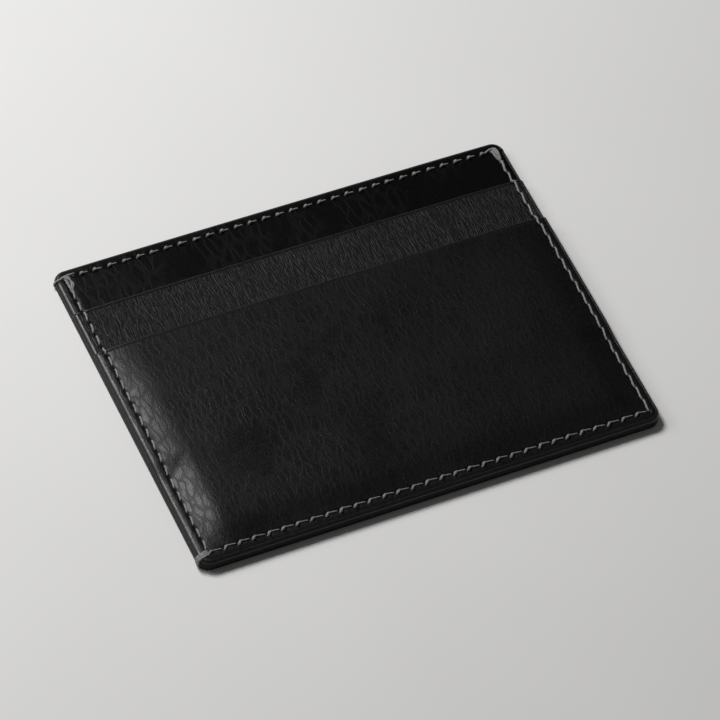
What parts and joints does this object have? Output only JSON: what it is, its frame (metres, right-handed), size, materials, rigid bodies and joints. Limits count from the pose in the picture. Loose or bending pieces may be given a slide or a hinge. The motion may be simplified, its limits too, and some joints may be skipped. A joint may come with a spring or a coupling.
{
  "type": "card holder",
  "caption": "Flat black leather card holder with stepped front pockets and an open-topped centre compartment, sewn round the edge in light grey thread.",
  "frame": {"origin": "middle of the back face, which lies at Z = 0", "axes": "+X along the long edge to the right as seen from the pocket side, +Y from the bottom seam to the open top edge, +Z out of the pocket side"},
  "size_m": [0.1006, 0.076, 0.0039],
  "materials": {
    "pocket_leather": "black grained leather, semi-gloss, roughness about 0.38",
    "matt_leather": "black grained leather, drier and more matt, roughness about 0.6",
    "body_leather": "black leather, smooth grain, semi-gloss, roughness about 0.4",
    "lining": "thin black lining leather, matt",
    "edge_coat": "burnished black edge paint, glossy",
    "thread": "waxed light grey thread, twisted"
  },
  "bodies": {
    "root": {"back_panel": "body_leather", "back_lining": "lining", "body_lining": "lining", "front_body_panel": "body_leather", "t_pocket_panel": "matt_leather", "front_pocket_panel": "pocket_leather", "side_seam_front_thread": "thread", "side_seam_back_thread": "thread", "top_seam_front_thread": "thread", "top_seam_back_thread": "thread", "t_pocket_bottom_seam": "thread", "top_left_corner_tack": "thread", "top_right_corner_tack": "thread", "bottom_left_corner_tack": "thread", "top_left_edge_wrap": "thread", "t_mouth_edge_wrap": "thread", "side_edge_coat": "edge_coat", "front_top_edge_coat": "edge_coat", "back_top_edge_coat": "edge_coat", "t_mouth_edge_coat": "edge_coat", "pocket_mouth_edge_coat": "edge_coat"}
  },
  "joints": []
}
